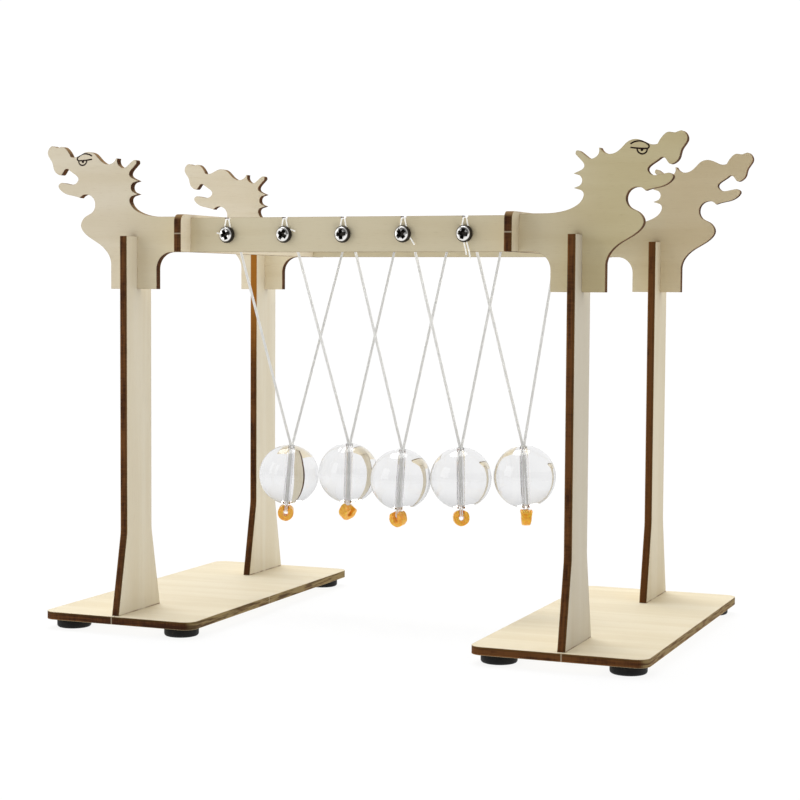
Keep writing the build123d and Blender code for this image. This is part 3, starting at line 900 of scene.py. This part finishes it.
# ---- camera, stage and light --------------------------------------------------------------
def make_camera():
    data = bpy.data.cameras.new("camera")
    data.lens = CAMERA_LENS
    data.sensor_width = 36
    data.clip_start = 0.01
    camera = bpy.data.objects.new("camera", data)
    bpy.context.scene.collection.objects.link(camera)
    azimuth, elevation = math.radians(CAMERA_AZIMUTH), math.radians(CAMERA_ELEVATION)
    back = Vector((math.sin(azimuth) * math.cos(elevation),
                   -math.cos(azimuth) * math.cos(elevation), math.sin(elevation)))
    roll = Matrix.Rotation(math.radians(CAMERA_ROLL), 4, "Z")
    aim = (cad_low + cad_high) / 2 + CAMERA_AIM
    facing = (-back).to_track_quat("-Z", "Y").to_matrix().to_4x4()
    camera.matrix_world = Matrix.Translation(aim + back * CAMERA_DISTANCE) @ facing @ roll
    bpy.context.scene.camera = camera


def make_floor():
    bm = bmesh.new()
    bmesh.ops.create_circle(bm, cap_ends=True, segments=96, radius=FLOOR_RADIUS)
    mesh = bpy.data.meshes.new("floor")
    bm.to_mesh(mesh)
    bm.free()
    floor = bpy.data.objects.new("floor", mesh)
    bpy.context.scene.collection.objects.link(floor)
    look = Look("floor_paper")
    look.set(Base_Color=(*FLOOR_GREY, 1), Roughness=0.9, Specular_IOR_Level=0.0)
    look.set(Emission_Color=(1, 1, 1, 1), Emission_Strength=FLOOR_GLOW)
    mesh.materials.append(look.material)


def lamp(data, place, back):
    """Hangs a light at a place with its back turned to a direction."""
    made = bpy.data.objects.new(data.name, data)
    bpy.context.scene.collection.objects.link(made)
    made.location = place
    made.rotation_mode = "QUATERNION"
    made.rotation_quaternion = Vector(back).to_track_quat("Z", "Y")


def make_softbox():
    data = bpy.data.lights.new("left_box", "AREA")
    data.shape = "SQUARE"
    data.size = BOX_SIZE
    data.energy = BOX_POWER
    lamp(data, BOX_PLACE, Vector(BOX_PLACE) - Vector(BOX_AIM))


def make_sun():
    data = bpy.data.lights.new("sun", "SUN")
    data.angle = math.radians(SUN_ANGLE)
    data.energy = SUN_STRENGTH
    lamp(data, (0, 0, 0), SUN_TOWARDS)


def make_world():
    world = bpy.data.worlds.new("studio")
    bpy.context.scene.world = world
    world.use_nodes = True
    tree = world.node_tree
    background = tree.nodes["Background"]
    background.inputs["Color"].default_value = (1, 1, 1, 1)
    directions = tree.nodes.new("ShaderNodeTexCoord").outputs["Generated"]

    def fade(direction, cosines, strengths, interpolation):
        """A strength that changes with the cosine from a direction."""
        cosine = tree.nodes.new("ShaderNodeVectorMath")
        cosine.operation = "DOT_PRODUCT"
        cosine.inputs[1].default_value = direction
        tree.links.new(directions, cosine.inputs[0])
        ramp = tree.nodes.new("ShaderNodeMapRange")
        ramp.interpolation_type = interpolation
        names = ("From Min", "From Max", "To Min", "To Max")
        for name, value in zip(names, (*cosines, *strengths)):
            ramp.inputs[name].default_value = value
        tree.links.new(cosine.outputs["Value"], ramp.inputs["Value"])
        return ramp.outputs[0]

    product = tree.nodes.new("ShaderNodeMath")
    product.operation = "MULTIPLY"
    sideways = fade(SKY_TOWARDS.normalized(), SKY_FADE, (SKY_DIM, SKY_BRIGHT), "SMOOTHSTEP")
    upwards = fade((0, 0, 1), OVERHEAD_FADE, (1.0, SKY_OVERHEAD), "LINEAR")
    tree.links.new(sideways, product.inputs[0])
    tree.links.new(upwards, product.inputs[1])
    tree.links.new(product.outputs[0], background.inputs["Strength"])


make_camera()
make_floor()
make_world()
make_sun()
make_softbox()
bpy.context.scene.view_settings.view_transform = "Standard"
